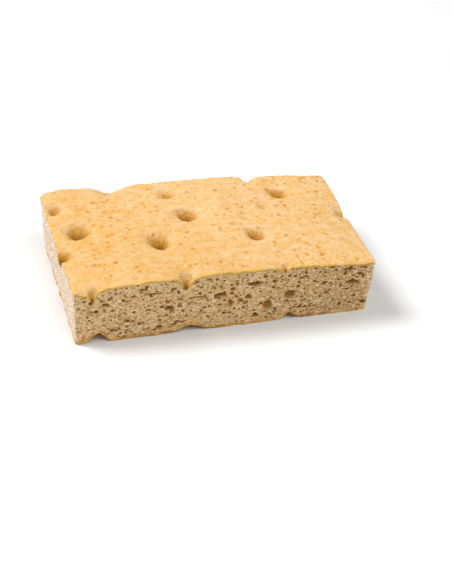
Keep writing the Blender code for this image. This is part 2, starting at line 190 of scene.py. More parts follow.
# Smaller bubbles, in layers of cells: the spacing of the cells, how much wider than tall they are,
# the smallest and largest radius as shares of the spacing, the share of cells that holds one, how
# steep their sides are, and a shift that tells the layers apart
PoreLayer = namedtuple("PoreLayer", "spacing stretch smallest largest share steepness shift")
SHAPED_PORES = [
    PoreLayer(4.2 * MM, 1.35, 0.14, 0.36, 0.65, 2.0, 3.0),
    PoreLayer(2.3 * MM, 1.15, 0.26, 0.52, 0.9, 1.5, 17.0),
]
DRAWN_PORES = [
    PoreLayer(1.9 * MM, 1.3, 0.34, 0.60, 0.95, 1.0, 41.0),
    PoreLayer(1.25 * MM, 1.2, 0.34, 0.62, 0.95, 0.9, 71.0),
]
SMALL_PORE_BIAS = 1.5
RIM_OF_PORE = (0.6, 1.0, 1.15, 1.7)  # where a rim rises and fades, in squared radii of the pore
PORE_SHADE = (0.05 * MM, 0.9 * MM)  # the depths where the painted shade of a pore begins to look brown, and where it is full
BUBBLE_SHADE = (0.2 * MM, 1.6 * MM)

# The browned skins of crust and base: how thick they are, and where their ragged edges give way to
# crumb on the cuts
CRUST_THICKNESS = 0.45 * MM
BASE_SKIN = 1.8 * MM
CRUST_EDGE = (CRUST_THICKNESS + 0.6 * MM, CRUST_THICKNESS + 1.1 * MM)
BASE_EDGE = (BASE_SKIN + 0.4 * MM, BASE_SKIN + 1.1 * MM)
RAGGED = 1.6 * MM
DEPTH_STRETCH = 1.7  # keeps the edge of the crust thin where it shows on the cuts
EDGE_ROUND = 0.6 * MM  # the knife pressed the crust's edge down

# How the dimples are folded inside, and browned and darkened with painted shade
CREASE_COUNT = 9  # fine folds of the skin inside a dimple
CREASE_DEPTH = 1.1 * MM
CUT_PIT_NARROWING = 2  # a dimple that the knife opened is brown and in painted shade only along its bottom
CUT_PIT_DARKENING = 0.45
FINGER_WIDTH = 8 * MM  # wider and shallower dips aren't browned and shaded as a finger's pit is

# Colours of the bread, linear
CRUST_TAN = (0.610, 0.362, 0.125, 1.0)
# real cream mottling, and a painted highlight on the crests of the folds
CRUST_CREAM_AND_HIGHLIGHT = (0.650, 0.460, 0.260, 1.0)
CRUST_ORANGE = (0.580, 0.295, 0.070, 1.0)
CRUST_TOASTED = (0.940, 0.900, 0.770, 1.0)
CRUST_GOLD = (0.700, 0.405, 0.060, 1.0)
# dimple colours: real browning together with painted shade; the darker one is painted shade at their
# bottoms
DIMPLE_OLIVE_AND_SHADE = (0.430, 0.205, 0.012, 1.0)
DIMPLE_PAINTED_SHADE = (0.200, 0.066, 0.002, 1.0)
BRAN_GOLD = (0.600, 0.290, 0.030, 1.0)
BRAN_ORANGE = (0.510, 0.205, 0.016, 1.0)
BRAN_BROWN = (0.380, 0.130, 0.018, 1.0)
FLOUR_PALE = (0.740, 0.600, 0.380, 1.0)
CRUMB_PALE = (0.660, 0.425, 0.190, 1.0)
CRUMB_TAN = (0.580, 0.345, 0.110, 1.0)
CRUMB_SHADY = (0.400, 0.215, 0.050, 1.0)
# painted highlight, on the rims of the pores and along the right edge
CRUMB_HIGHLIGHT = (0.860, 0.655, 0.385, 1.0)
# painted highlight on the left and far sides, which the key light falls on
CRUMB_LIT_SIDE = (0.720, 0.585, 0.445, 1.0)
CRUMB_PRESSED = (0.740, 0.500, 0.190, 1.0)
PORE_PAINTED_SHADE = (0.375, 0.150, 0.012, 1.0)
BUBBLE_PAINTED_SHADE = (0.330, 0.160, 0.038, 1.0)
BASE_GOLD = (0.780, 0.450, 0.110, 1.0)
BASE_BROWN = (0.420, 0.190, 0.040, 1.0)
WHITE = (1.0, 1.0, 1.0, 1.0)
FLOOR_WHITE = (0.68, 0.68, 0.68, 1.0)

# Where the colours change in the plan, each from its start to its full strength: the crust is toasted
# towards the near left corner and has more spots towards the right, its rim is yellowest at the near
# cut, and the crumb is shadier towards the right, up to a painted highlight along the right edge
TO_TOASTED_CORNER = (-0.75, -0.65, 0.0)
TOASTED_STRETCH = (-5 * MM, 35 * MM)
SPOTTED_STRETCH = (-10 * MM, 60 * MM)
NEAR_RIM_STRETCH = (30 * MM, 38 * MM)
SHADY_STRETCH = (5 * MM, 55 * MM)
LIT_RIGHT_EDGE_STRETCH = (72.5 * MM, 75.5 * MM)

# How wide the features of the crust's colouring are
BROAD_MOTTLE = 18 * MM
CREAM_MOTTLE = 1.9 * MM
ORANGE_MOTTLE = 1.7 * MM
FOLD_SIZE = 3.4 * MM
CROWD_SIZE = 13 * MM

# Soft round spots in the skin: the spacing of the cells that can hold one, their middling radius as a
# share of it, how strong they are, and their colour
SpotLayer = namedtuple("SpotLayer", "spacing radius strength colour")
CRUST_SPOTS = [
    SpotLayer(2.0 * MM, 0.22, 0.7, BRAN_GOLD),
    SpotLayer(4.2 * MM, 0.17, 0.9, BRAN_ORANGE),
    SpotLayer(8.5 * MM, 0.080, 0.85, BRAN_BROWN),
    SpotLayer(6.5 * MM, 0.065, 0.7, FLOUR_PALE),
]
BASE_SPOTS = SpotLayer(2.0 * MM, 0.18, 0.6, BRAN_BROWN)

# The photograph's view
CAMERA_PLACE = Vector((-161.11, -449.09, 365.02)) * MM
CAMERA_RIGHT = Vector((0.95198, -0.28891, 0.10129))
CAMERA_DOWN = Vector((-0.10368, -0.61553, -0.78126))
CAMERA_LENS = 71.9

# The studio: a wide floor, even white surroundings and two soft square lights
FLOOR_SIZE = 6.0
SURROUNDINGS = 0.4
SoftLight = namedtuple("SoftLight", "name place size power")
KEY_LIGHT = SoftLight("key", (-1.0, 0.5, 1.45), 0.7, 36.0)
FILL_LIGHT = SoftLight("fill", (0.55, -0.75, 1.7), 1.2, 20.0)


class Tree:
    """A node tree under construction. Each call adds a node and gives back what it puts out."""

    def __init__(self, tree):
        self.tree = tree
        self.for_shader = tree.bl_idname == "ShaderNodeTree"

    def node(self, kind, inputs=None, **settings):
        """Adds a node, with its settings and its inputs: values, or the outputs of other nodes."""
        node = self.tree.nodes.new(kind)
        for name, value in settings.items():
            setattr(node, name, value)
        for key, value in (inputs or {}).items():
            if isinstance(value, bpy.types.NodeSocket):
                self.tree.links.new(value, node.inputs[key])
            else:
                node.inputs[key].default_value = value
        return node

    def maths(self, operation, *values):
        """One step of arithmetic."""
        return self.node("ShaderNodeMath", dict(enumerate(values)), operation=operation).outputs[0]

    def vector(self, operation, *values):
        """One step of vector arithmetic."""
        node = self.node("ShaderNodeVectorMath", dict(enumerate(values)), operation=operation)
        return node.outputs["Value" if operation == "DOT_PRODUCT" else "Vector"]

    def along(self, place, direction):
        """How far a place or an arrow reaches in a direction."""
        return self.vector("DOT_PRODUCT", place, direction)

    def scaled(self, arrow, size):
        """An arrow made longer or shorter."""
        return self.node("ShaderNodeVectorMath", {0: arrow, 3: size}, operation="SCALE").outputs[0]

    def ramp(self, value, start, end, low=0.0, high=1.0):
        """A soft step from low to high as a value goes from start to end."""
        inputs = {"Value": value, "From Min": start, "From Max": end, "To Min": low, "To Max": high}
        node = self.node("ShaderNodeMapRange", inputs, interpolation_type="SMOOTHSTEP")
        return node.outputs["Result"]

    def mix(self, share, first, second, blend="MIX"):
        """Blends two colours."""
        node = self.node("ShaderNodeMix", data_type="RGBA", blend_type=blend)
        for key, value in (("Factor_Float", share), ("A_Color", first), ("B_Color", second)):
            socket = next(one for one in node.inputs if one.identifier == key)
            if isinstance(value, bpy.types.NodeSocket):
                self.tree.links.new(value, socket)
            else:
                socket.default_value = value
        return next(one for one in node.outputs if one.identifier == "Result_Color")

    def split(self, colour):
        """The three parts of a colour."""
        kind = "ShaderNodeSeparateColor" if self.for_shader else "FunctionNodeSeparateColor"
        return self.node(kind, {"Color": colour}).outputs[:3]

    def attribute(self, name, vector=False):
        """A value stored on the mesh."""
        if self.for_shader:
            node = self.node("ShaderNodeAttribute", attribute_name=name)
            return node.outputs["Vector" if vector else "Fac"]
        kind = "FLOAT_VECTOR" if vector else "FLOAT"
        return self.node("GeometryNodeInputNamedAttribute", {"Name": name}, data_type=kind).outputs[0]

    def noise(self, place, size, detail=2.0, roughness=0.5):
        """Soft noise from 0 to 1 with features of a size."""
        inputs = {"Vector": place, "Scale": 1 / size, "Detail": detail, "Roughness": roughness}
        return self.node("ShaderNodeTexNoise", inputs, noise_dimensions="3D").outputs[0]

    def wander(self, place, size, reach):
        """A small sideways shift, different from place to place, that roughens an outline."""
        inputs = {"Vector": place, "Scale": 1 / size, "Detail": 1.0}
        shift = self.node("ShaderNodeTexNoise", inputs, noise_dimensions="3D").outputs["Color"]
        shift = self.vector("SUBTRACT", shift, (0.5, 0.5, 0.5))
        return self.vector("MULTIPLY", shift, (reach, reach, 0.0))

    def cells(self, place, flat=False):
        """Cells one unit apart, in space or in the plan."""
        inputs = {"Vector": place, "Scale": 1.0, "Randomness": 1.0}
        dimensions = "2D" if flat else "3D"
        return self.node("ShaderNodeTexVoronoi", inputs, voronoi_dimensions=dimensions)


def bell(distance, reach):
    """A smooth bump that is 1 in the middle and fades past its reach."""
    return np.exp(-((distance / reach) ** 2))


def soft_step(value, start, end):
    """Goes smoothly from 0 to 1 as a value goes from start to end."""
    share = np.clip((value - start) / (end - start), 0.0, 1.0)
    return share * share * (3 - 2 * share)


def pit_share(dimple, x, y):
    """How deep in a dimple's pit a plan point lies, from 1 at its deepest to 0 outside it.

    The finger leant, so the near wall of a pit is steep and its far wall slopes. Three creases run
    out from its bottom.
    """
    right, far = x - dimple.x, y - dimple.y
    to_right = (right * cos(PRESS_TURN) + far * sin(PRESS_TURN)) / dimple.stretch
    to_far = far * cos(PRESS_TURN) - right * sin(PRESS_TURN)
    to_far = np.where(to_far > 0, to_far / FAR_WALL_REACH, to_far)
    turn = np.arctan2(to_far, to_right) - radians(dimple.crease)
    reach = dimple.width * PIT_SHARE * (1 + CREASE * np.cos(3 * turn))
    return np.exp(-((np.hypot(to_right, to_far) / reach) ** PIT_POWER))


def crust_height(x, y):
    """Height of the crust over a point of the plan: a low dome with swells, ripples and dimples."""
    height = CROWN - END_DROP * np.abs(x / HALF_LENGTH) ** 3 - SIDE_DROP * (y / HALF_WIDTH) ** 4
    for swell in SWELLS:
        height += swell.height * bell(np.hypot(x - swell.x, y - swell.y), swell.reach)
    ripples = [noise.noise(Vector((a, b, 0.0)) / RIPPLE_SIZE) for a, b in zip(x, y)]
    height += RIPPLE_HEIGHT * np.array(ripples)
    for dimple in DIMPLES:
        away = np.hypot((x - dimple.x) / dimple.stretch, y - dimple.y)
        height -= dimple.depth * pit_share(dimple, x, y)
        height -= dimple.depth * BASIN_DEPTH_SHARE * bell(away, dimple.width * BASIN_SHARE)
    return height


def finger_creases(x, y):
    """How deep the fine folds are that run down the walls of the dimples."""
    folds = np.zeros_like(x)
    for dimple in DIMPLES:
        turn = np.arctan2(y - dimple.y, x - dimple.x)
        wave = np.sin(CREASE_COUNT * turn + 2 * np.sin(2 * turn + dimple.x / MM) + dimple.y / MM)
        share = pit_share(dimple, x, y)
        folds += CREASE_DEPTH * share * (1 - share) * (1 + wave) * dimple.depth / DEEP_PIT
    return folds


def base_height(x, y):
    """Height of the underside: flat on the pan, with a pointed hollow under each dimple."""
    hollows = np.zeros_like(x)
    for dimple in DIMPLES:
        away = np.hypot(x - dimple.x - dimple.hollow_aside, y - dimple.y)
        reach = dimple.hollow_width * HOLLOW_SHARE
        hollows += dimple.hollow * np.exp(-((away / reach) ** HOLLOW_POWER))
    return np.maximum(hollows - HOLLOW_START, 0.0)


def unit_lattice(columns, rows, levels):
    """Points, quads and wall rings of a closed block one unit a side."""
    line_across = np.linspace(-0.5, 0.5, columns + 1)
    line_along = np.linspace(-0.5, 0.5, rows + 1)
    across, along = np.meshgrid(line_across, line_along)
    grid = np.arange(across.size).reshape(across.shape)
    count = across.size
    rim = np.concatenate((grid[0, :-1], grid[:-1, -1], grid[-1, :0:-1], grid[:0:-1, 0]))
    plan = np.column_stack((across.ravel(), along.ravel()))
    layers = [np.column_stack((plan, np.full(count, up))) for up in (0.0, 1.0)]
    rings = [rim]
    for level in range(1, levels):
        layers.append(np.column_stack((plan[rim], np.full(len(rim), level / levels))))
        rings.append(2 * count + (level - 1) * len(rim) + np.arange(len(rim)))
    rings.append(rim + count)
    squares = np.stack((grid[:-1, :-1], grid[:-1, 1:], grid[1:, 1:], grid[1:, :-1]), axis=-1)
    squares = squares.reshape(-1, 4)
    quads = [squares[:, ::-1], squares + count]
    for lower, upper in zip(rings, rings[1:]):
        quads.append(np.column_stack((lower, np.roll(lower, -1), np.roll(upper, -1), upper)))
    return np.vstack(layers), np.vstack(quads), np.array(rings)


def rounded_corners(across, along):
    """Moves plan points of the unit block so that its upright corners become arcs."""
    radius = np.where((across < 0) & (along > 0), FAR_LEFT_ROUND, CORNER_ROUND)
    width, depth = 2 * HALF_LENGTH, 2 * HALF_WIDTH
    into_x = np.abs(across) * width - (HALF_LENGTH - radius)
    into_y = np.abs(along) * depth - (HALF_WIDTH - radius)
    inside = (into_x > 0) & (into_y > 0)
    reach = np.hypot(into_x, into_y)
    pull = np.where(inside, np.maximum(into_x, into_y) / np.maximum(reach, TINY * MM), 1.0)
    new_x = np.where(inside, HALF_LENGTH - radius + into_x * pull, np.abs(across) * width)
    new_y = np.where(inside, HALF_WIDTH - radius + into_y * pull, np.abs(along) * depth)
    return np.sign(across) * new_x / width, np.sign(along) * new_y / depth


def between_corners(corners, across, along):
    """A plan point at shares across and along of the four-cornered outline, each from -0.5 to 0.5."""
    right, far = across + 0.5, along + 0.5
    left, near = 1 - right, 1 - far
    return [
        near * (left * corners["near_left"][axis] + right * corners["near_right"][axis])
        + far * (left * corners["far_left"][axis] + right * corners["far_right"][axis])
        for axis in (0, 1)
    ]


def scattered_bubbles(count, half_span, draw):
    """Bubbles for a wall that hides from the near side, kept clear of each other and of the edges."""
    chosen = []
    for _ in range(count * TRIES_PER_BUBBLE):
        if len(chosen) == count:
            break
        narrowest, widest = BUBBLE_WIDTHS
        width = narrowest + (widest - narrowest) * draw.random() ** SMALL_BUBBLE_BIAS
        height = width * draw.uniform(*BUBBLE_FLATNESS)
        along = draw.uniform(-1, 1) * (half_span - BUBBLE_MARGIN - width / 2)
        lowest = BUBBLE_MARGIN + height / 2
        z = draw.uniform(lowest, CROWN - END_DROP - lowest)
        bubble = Bubble(along, z, width, height)
        if all(
            abs(along - other.along) > (width + other.width) / 2 + BUBBLE_GAP
            or abs(z - other.z) > (height + other.height) / 2 + BUBBLE_GAP
            for other in chosen
        ):
            chosen.append(bubble)
    return chosen


def pressed_out(bubble, dimples_on_wall):
    """True where a bubble would lie in the dense crumb under a dimple or in a hollow of the base."""
    return any(
        abs(bubble.along - place) < (bubble.width + width) / 2
        and (bubble.z > CROWN - depth - 2 * BUBBLE_MARGIN or bubble.z < hollow + BUBBLE_MARGIN)
        for place, width, depth, hollow in dimples_on_wall
    )


def bubble_depth(along, z, bubbles):
    """How deep the large bubbles reach behind a wall at each of its points."""
    depth = np.zeros_like(along)
    for bubble in bubbles:
        radius = min(bubble.width, DEEPEST_BUBBLE * bubble.height) / 2
        to_roof = (z - bubble.z) / (bubble.height / 2)
        in_plane = ((along - bubble.along) / (bubble.width / 2)) ** 2 + to_roof**2
        sagged = 1 + ROOF_SHARE * to_roof
        depth = np.maximum(depth, radius * sagged * np.sqrt(np.maximum(1 - in_plane, 0.0)))
    return depth


def large_bubbles(places, across, along):
    """Depth of the large open bubbles at each point of the four walls."""
    draw = random.Random(BUBBLE_SEED)
    edge = 0.5 - TINY
    x, y, z = places.T
    walls = {
        "near": (along < -edge, x, 1, -HALF_WIDTH, HALF_LENGTH),
        "far": (along > edge, x, 1, HALF_WIDTH, HALF_LENGTH),
        "left": (across < -edge, y, 0, -HALF_LENGTH, HALF_WIDTH),
        "right": (across > edge, y, 0, HALF_LENGTH, HALF_WIDTH),
    }
    depth = np.zeros_like(x)
    for name, (on_wall, span, axis, line, half_span) in walls.items():
        pressed = [
            (dimple[1 - axis], dimple.width, dimple.depth, dimple.hollow)
            for dimple in DIMPLES
            if abs(dimple[axis] - line) < dimple.width / 2
        ]
        if name == "near":
            bubbles = NEAR_BUBBLES
        else:
            bubbles = scattered_bubbles(OTHER_WALL_BUBBLES[name], half_span, draw)
            bubbles = [bubble for bubble in bubbles if not pressed_out(bubble, pressed)]
        depth[on_wall] = bubble_depth(span[on_wall], z[on_wall], bubbles)
    return depth


def pressed_crumb(places):
    """How dense the crumb is at each point, 0 to 1: it is pressed together between dimple and hollow."""
    x, y, z = places.T
    pressed = np.zeros_like(x)
    for dimple in DIMPLES:
        middle_x = dimple.x + dimple.hollow_aside * (1 - z / CROWN)
        away = np.hypot(x - middle_x, y - dimple.y)
        under_pit = (CROWN - dimple.depth - z) / PRESSED_UNDER_PIT
        over_hollow = (z - dimple.hollow) / PRESSED_OVER_HOLLOW
        share = np.maximum(np.exp(-np.maximum(under_pit, 0)), np.exp(-np.maximum(over_hollow, 0)))
        pressed = np.maximum(pressed, share * bell(away, dimple.width * PRESSED_SHARE))
    return pressed


def pit_browning_and_shade(x, y):
    """How dark the dimples are painted at each point, 0 to 1, real browning together with painted shade:
    the deep and narrow ones are the darkest.
    """
    pit = np.zeros_like(x)
    for dimple in DIMPLES:
        share = pit_share(dimple, x, y)
        darkened = min(dimple.depth / DEEP_PIT, 1.0) * min(FINGER_WIDTH / dimple.width, 1.0)
        if abs(dimple.y) > HALF_WIDTH:
            share = share**CUT_PIT_NARROWING
            darkened = max(darkened, CUT_PIT_DARKENING * FINGER_WIDTH / dimple.width)
        pit = np.maximum(pit, share * min(darkened, 1.0))
    return pit


def inward_arrows(places, rings):
    """At each point of the walls, an arrow one unit long that points level into the bread."""
    inward = np.zeros_like(places)
    outline = places[rings[len(rings) // 2]][:, :2]
    tangent = np.roll(outline, -1, axis=0) - np.roll(outline, 1, axis=0)
    tangent /= np.linalg.norm(tangent, axis=1, keepdims=True)
    for ring in rings:
        inward[ring, 0] = -tangent[:, 1]
        inward[ring, 1] = tangent[:, 0]
    return inward


def lattice_bread():
    """The smooth bread as a fine closed lattice, with what its relief and finish read on its points."""
    columns, rows = (round(2 * size / LATTICE_PITCH) for size in (HALF_LENGTH, HALF_WIDTH))
    shares, quads, rings = unit_lattice(columns, rows, round(CROWN / LEVEL_PITCH))
    across, along, up = shares.T
    round_across, round_along = rounded_corners(across, along)
    crust_x, crust_y = between_corners(CRUST_CORNERS, round_across, round_along)
    base_x, base_y = between_corners(BASE_CORNERS, round_across, round_along)
    x = base_x + (crust_x - base_x) * up
    y = base_y + (crust_y - base_y) * up
    bottom = base_height(base_x, base_y)
    from_edge = np.minimum(HALF_LENGTH * (1 - 2 * np.abs(across)), HALF_WIDTH * (1 - 2 * np.abs(along)))
    bend = np.clip(1 - from_edge / EDGE_ROUND, 0.0, 1.0)
    top = crust_height(crust_x, crust_y) - finger_creases(crust_x, crust_y)
    top -= EDGE_ROUND * (1 - np.sqrt(1 - bend**2))
    z = bottom + (top - bottom) * up
    places = np.column_stack((x, y, z))

    pressed = pressed_crumb(places)
    under_crust = top - z
    above_base = z - bottom
    cut_open = soft_step(under_crust, *OPEN_BELOW_CRUST) * soft_step(above_base, *OPEN_ABOVE_BASE)
    cut_open *= 1 - soft_step(pressed, *PRESSED_SHUT)

    mesh = bpy.data.meshes.new("bread")
    mesh.from_pydata(places.tolist(), [], quads.tolist())
    floats = {
        "under_crust": under_crust,
        "from_rim": under_crust + from_edge,
        "above_base": above_base,
        "pressed": pressed,
        "cut_open": cut_open,
        "pit": pit_browning_and_shade(x, y),
        "up": up,
        "bubble": large_bubbles(places, across, along) * (cut_open > 0),
    }
    for name, values in floats.items():
        mesh.attributes.new(name, "FLOAT", "POINT").data.foreach_set("value", values)
    for name, values in {"cut_place": places, "inward": inward_arrows(places, rings)}.items():
        mesh.attributes.new(name, "FLOAT_VECTOR", "POINT").data.foreach_set("vector", values.ravel())
    return mesh


def pore(tree, place, inward, layer):
    """How deep the bubbles of one layer reach behind a cut, in metres, and where their rims are.

    Each cell holds a ball, and the cut opens the balls that it passes through. One goes no deeper
    than its far side, and its rim is worn to a slope.
    """
    wide = 1 / (layer.spacing * layer.stretch)
    spot = tree.vector("MULTIPLY", place, (wide, wide, 1 / layer.spacing))
    spot = tree.vector("ADD", spot, (layer.shift, layer.shift, layer.shift))
    cells = tree.cells(spot)
    chance = tree.split(cells.outputs["Color"])
    size = tree.maths("POWER", chance[0], SMALL_PORE_BIAS)
    radius = tree.maths("MULTIPLY_ADD", size, layer.largest - layer.smallest, layer.smallest)
    radius = tree.maths("MULTIPLY", radius, tree.maths("LESS_THAN", chance[1], layer.share))
    to_middle = tree.vector("SUBTRACT", cells.outputs["Position"], spot)
    behind = tree.along(to_middle, inward)
    apart = tree.along(to_middle, to_middle)
    squared = tree.maths("MULTIPLY", radius, radius)
    inside = tree.maths("MAXIMUM", tree.maths("SUBTRACT", squared, apart), 0.0)
    worn = tree.maths("DIVIDE", tree.maths("MULTIPLY", inside, layer.steepness), radius)
    beside = tree.maths("SUBTRACT", apart, tree.maths("MULTIPLY", behind, behind))
    half_chord = tree.maths("SQRT", tree.maths("MAXIMUM", tree.maths("SUBTRACT", squared, beside), 0.0))
    depth = tree.maths("MINIMUM", tree.maths("ADD", behind, half_chord), worn)
    depth = tree.maths("MULTIPLY", tree.maths("MAXIMUM", depth, 0.0), layer.spacing * layer.stretch)
    share = tree.maths("DIVIDE", apart, squared)
    rise_from, rise_to, fade_from, fade_to = RIM_OF_PORE
    rising = tree.ramp(share, rise_from, rise_to)
    return depth, tree.maths("MULTIPLY", rising, tree.ramp(share, fade_from, fade_to, 1.0, 0.0))


def open_pores(tree, layers):
    """Depth of the open pores of several layers together, and their rims from 0 to 1."""
    place = tree.attribute("cut_place", vector=True)
    inward = tree.attribute("inward", vector=True)
    depth, rim = pore(tree, place, inward, layers[0])
    for layer in layers[1:]:
        one_depth, one_rim = pore(tree, place, inward, layer)
        depth = tree.maths("MAXIMUM", depth, one_depth)
        rim = tree.maths("MAXIMUM", rim, one_rim)
    cut_open = tree.attribute("cut_open")
    return tree.maths("MULTIPLY", depth, cut_open), tree.maths("MULTIPLY", rim, cut_open)


def new_geometry_tree(name, sizes):
    """An empty Geometry Nodes tree with a named input for each size."""
    group = bpy.data.node_groups.new(name, "GeometryNodeTree")
    group.interface.new_socket("Geometry", in_out="INPUT", socket_type="NodeSocketGeometry")
    for label, value in sizes.items():
        socket = group.interface.new_socket(label, in_out="INPUT", socket_type="NodeSocketFloat")
        socket.default_value = value
    group.interface.new_socket("Geometry", in_out="OUTPUT", socket_type="NodeSocketGeometry")
    tree = Tree(group)
    return tree, tree.node("NodeGroupInput").outputs


def finish_tree(tree, geometry, material):
    """Ends a tree: instances become real, and everything gets its material."""
    realized = tree.node("GeometryNodeRealizeInstances", {"Geometry": geometry}).outputs[0]
    inputs = {"Geometry": realized, "Material": material}
    finished = tree.node("GeometryNodeSetMaterial", inputs).outputs[0]
    tree.node("NodeGroupOutput", {"Geometry": finished})
    return tree.tree


def grown(name, source, group, sizes, thinned_to=None):
    """The plain mesh that a tree grows from a source mesh, as an object in the scene."""
    thing = bpy.data.objects.new(name, source)
    bpy.context.scene.collection.objects.link(thing)
    modifier = thing.modifiers.new(name, "NODES")
    modifier.node_group = group
    for socket in group.interface.items_tree:
        if socket.in_out == "INPUT" and socket.name in sizes:
            modifier[socket.identifier] = sizes[socket.name]
    if thinned_to:
        source.calc_loop_triangles()
        thinning = thing.modifiers.new("thin out", "DECIMATE")
        thinning.ratio = min(thinned_to / len(source.loop_triangles), 1.0)
        thinning.use_collapse_triangulate = True
    graph = bpy.context.evaluated_depsgraph_get()
    mesh = bpy.data.meshes.new_from_object(
        thing.evaluated_get(graph), preserve_all_data_layers=True, depsgraph=graph
    )
    mesh.name = name
    mesh.shade_smooth()
    mesh.set_sharp_from_angle(angle=SHARP_ANGLE)
    thing.modifiers.clear()
    thing.data = mesh
    return thing


# The relief of the bread: how wide its features are, and how far each kind reaches at its most
TEAR_SIZE = 3.2 * MM
WRINKLE_SIZE = 4.5 * MM
BLISTER_SIZE = 6.5 * MM
NICK_SIZE = 1.9 * MM
PAN_MARK_SIZE = 6.0 * MM
BREAD_SIZES = {
    "Tear": 1.6 * MM,
    "Raised Rim": 0.15 * MM,
    "Ragged Rim": 1.8 * MM,
    "Wrinkle": 0.45 * MM,
    "Blister": 0.50 * MM,
    "Pan Mark": 0.25 * MM,
}


def bread_relief(material):
    """Opens the pores of the cut sides, shallower on the left one, and roughens crust and base."""
    tree, sizes = new_geometry_tree("bread_relief", BREAD_SIZES)
    place = tree.node("GeometryNodeInputPosition").outputs[0]
    inward = tree.attribute("inward", vector=True)
    up = tree.attribute("up")

    torn = tree.noise(tree.vector("MULTIPLY", place, (0.7, 0.7, 1.3)), TEAR_SIZE, 3.0, 0.55)
    torn = tree.maths("MULTIPLY", tree.maths("SUBTRACT", torn, 0.5), sizes["Tear"])
    depth, rim = open_pores(tree, SHAPED_PORES)
    raised = tree.maths("MULTIPLY", rim, sizes["Raised Rim"])
    shut_left = tree.ramp(tree.along(inward, RIGHT), *ON_WALL, 1.0, 0.4)
    pores = tree.maths("MULTIPLY", tree.maths("MAXIMUM", depth, tree.attribute("bubble")), shut_left)
    pulled = tree.maths("ADD", torn, tree.maths("SUBTRACT", pores, raised))
    to_side = tree.scaled(inward, pulled)

    wrinkle = tree.noise(tree.vector("MULTIPLY", place, (0.4, 1.0, 1.0)), WRINKLE_SIZE, 1.0)
    wrinkle = tree.maths("MULTIPLY", tree.maths("SUBTRACT", wrinkle, 0.25), sizes["Wrinkle"])
    blister = tree.maths("SUBTRACT", tree.noise(place, BLISTER_SIZE, 1.0), 0.25)
    blister = tree.maths("MULTIPLY", blister, sizes["Blister"])
    sunk = tree.maths("MULTIPLY", tree.maths("ADD", wrinkle, blister), up)
    at_rim = tree.ramp(tree.attribute("from_rim"), 0.2 * MM, 1.2 * MM, 1.0, 0.0)
    nicked = tree.maths("SUBTRACT", tree.noise(place, NICK_SIZE, 2.0, 0.6), 0.45)
    nicked = tree.maths("MULTIPLY", nicked, at_rim)
    sunk = tree.maths("MULTIPLY_ADD", nicked, sizes["Ragged Rim"], sunk)
    pan = tree.maths("MULTIPLY", tree.noise(place, PAN_MARK_SIZE, 1.0), sizes["Pan Mark"])
    lifted = tree.maths("MULTIPLY", pan, tree.maths("SUBTRACT", 1.0, up))
    rise = tree.node("ShaderNodeCombineXYZ", {"Z": tree.maths("SUBTRACT", lifted, sunk)}).outputs[0]

    inputs = {"Geometry": sizes["Geometry"], "Offset": tree.vector("ADD", to_side, rise)}
    moved = tree.node("GeometryNodeSetPosition", inputs).outputs[0]
    return finish_tree(tree, moved, material)


def bread_finish():
    """The bread's material: crust, crumb and base, told apart by what the mesh stores on its points."""
    material = bpy.data.materials.new("bread_finish")
    material.use_nodes = True
    tree = Tree(material.node_tree)
    place = tree.node("ShaderNodeTexCoord").outputs["Object"]
    crust, crust_bump = crust_colour(tree, place)
    crumb, crumb_bump = crumb_colour(tree)
    base, base_bump = base_colour(tree, place)

    ragged = tree.maths("MULTIPLY", tree.noise(place, RAGGED, 3.0, 0.6), RAGGED)
    under = tree.maths("MULTIPLY_ADD", tree.attribute("under_crust"), DEPTH_STRETCH, ragged)
    in_crust = tree.ramp(under, *CRUST_EDGE, 1.0, 0.0)
    above = tree.maths("ADD", tree.attribute("above_base"), ragged)
    in_base = tree.ramp(above, *BASE_EDGE, 1.0, 0.0)
    colour = tree.mix(in_crust, tree.mix(in_base, crumb, base), crust)
    height = tree.mix(in_crust, tree.mix(in_base, crumb_bump, base_bump), crust_bump)

    shader = tree.tree.nodes["Principled BSDF"]
    shader.inputs["Roughness"].default_value = 0.6
    shader.inputs["Specular IOR Level"].default_value = 0.25
    tree.tree.links.new(colour, shader.inputs["Base Color"])
    bump = tree.node("ShaderNodeBump", {"Strength": 0.9, "Distance": 1.0, "Height": height})
    tree.tree.links.new(bump.outputs[0], shader.inputs["Normal"])
    return material


def crust_colour(tree, place):
    """Golden tan crust with bran spots, dimples brown and darkened with painted shade, and a yellow line
    along its rim.
    """
    colour, folds = mottled_skin(tree, place)
    crowded = tree.ramp(tree.noise(place, CROWD_SIZE, 2.0), 0.36, 0.66, 0.06, 0.6)
    rightward = tree.ramp(tree.along(place, RIGHT), *SPOTTED_STRETCH, 0.9, 1.15)
    outside_pits = tree.ramp(tree.attribute("pit"), 0.03, 0.25, 1.0, 0.0)
    crowded = tree.maths("MULTIPLY", tree.maths("MULTIPLY", crowded, rightward), outside_pits)
    for layer in CRUST_SPOTS:
        colour = spotted(tree, place, colour, layer, crowded)
    rough = tree.maths("MULTIPLY_ADD", tree.noise(place, 1.6 * MM, 3.0, 0.6), 0.3, -0.15)
    pit = tree.maths("ADD", tree.attribute("pit"), rough)
    # Dimples are painted olive and then dark towards their bottoms: real browning together with painted
    # shade.
    colour = tree.mix(tree.ramp(pit, 0.08, 0.50, 0.0, 0.95), colour, DIMPLE_OLIVE_AND_SHADE)
    colour = tree.mix(tree.ramp(pit, 0.45, 0.85), colour, DIMPLE_PAINTED_SHADE)
    colour = tree.mix(golden_line(tree, place), colour, CRUST_GOLD)
    grain = tree.maths("MULTIPLY", tree.noise(place, 0.8 * MM, 3.0, 0.65), 0.25 * MM)
    return colour, tree.maths("MULTIPLY_ADD", folds, 0.9 * MM, grain)


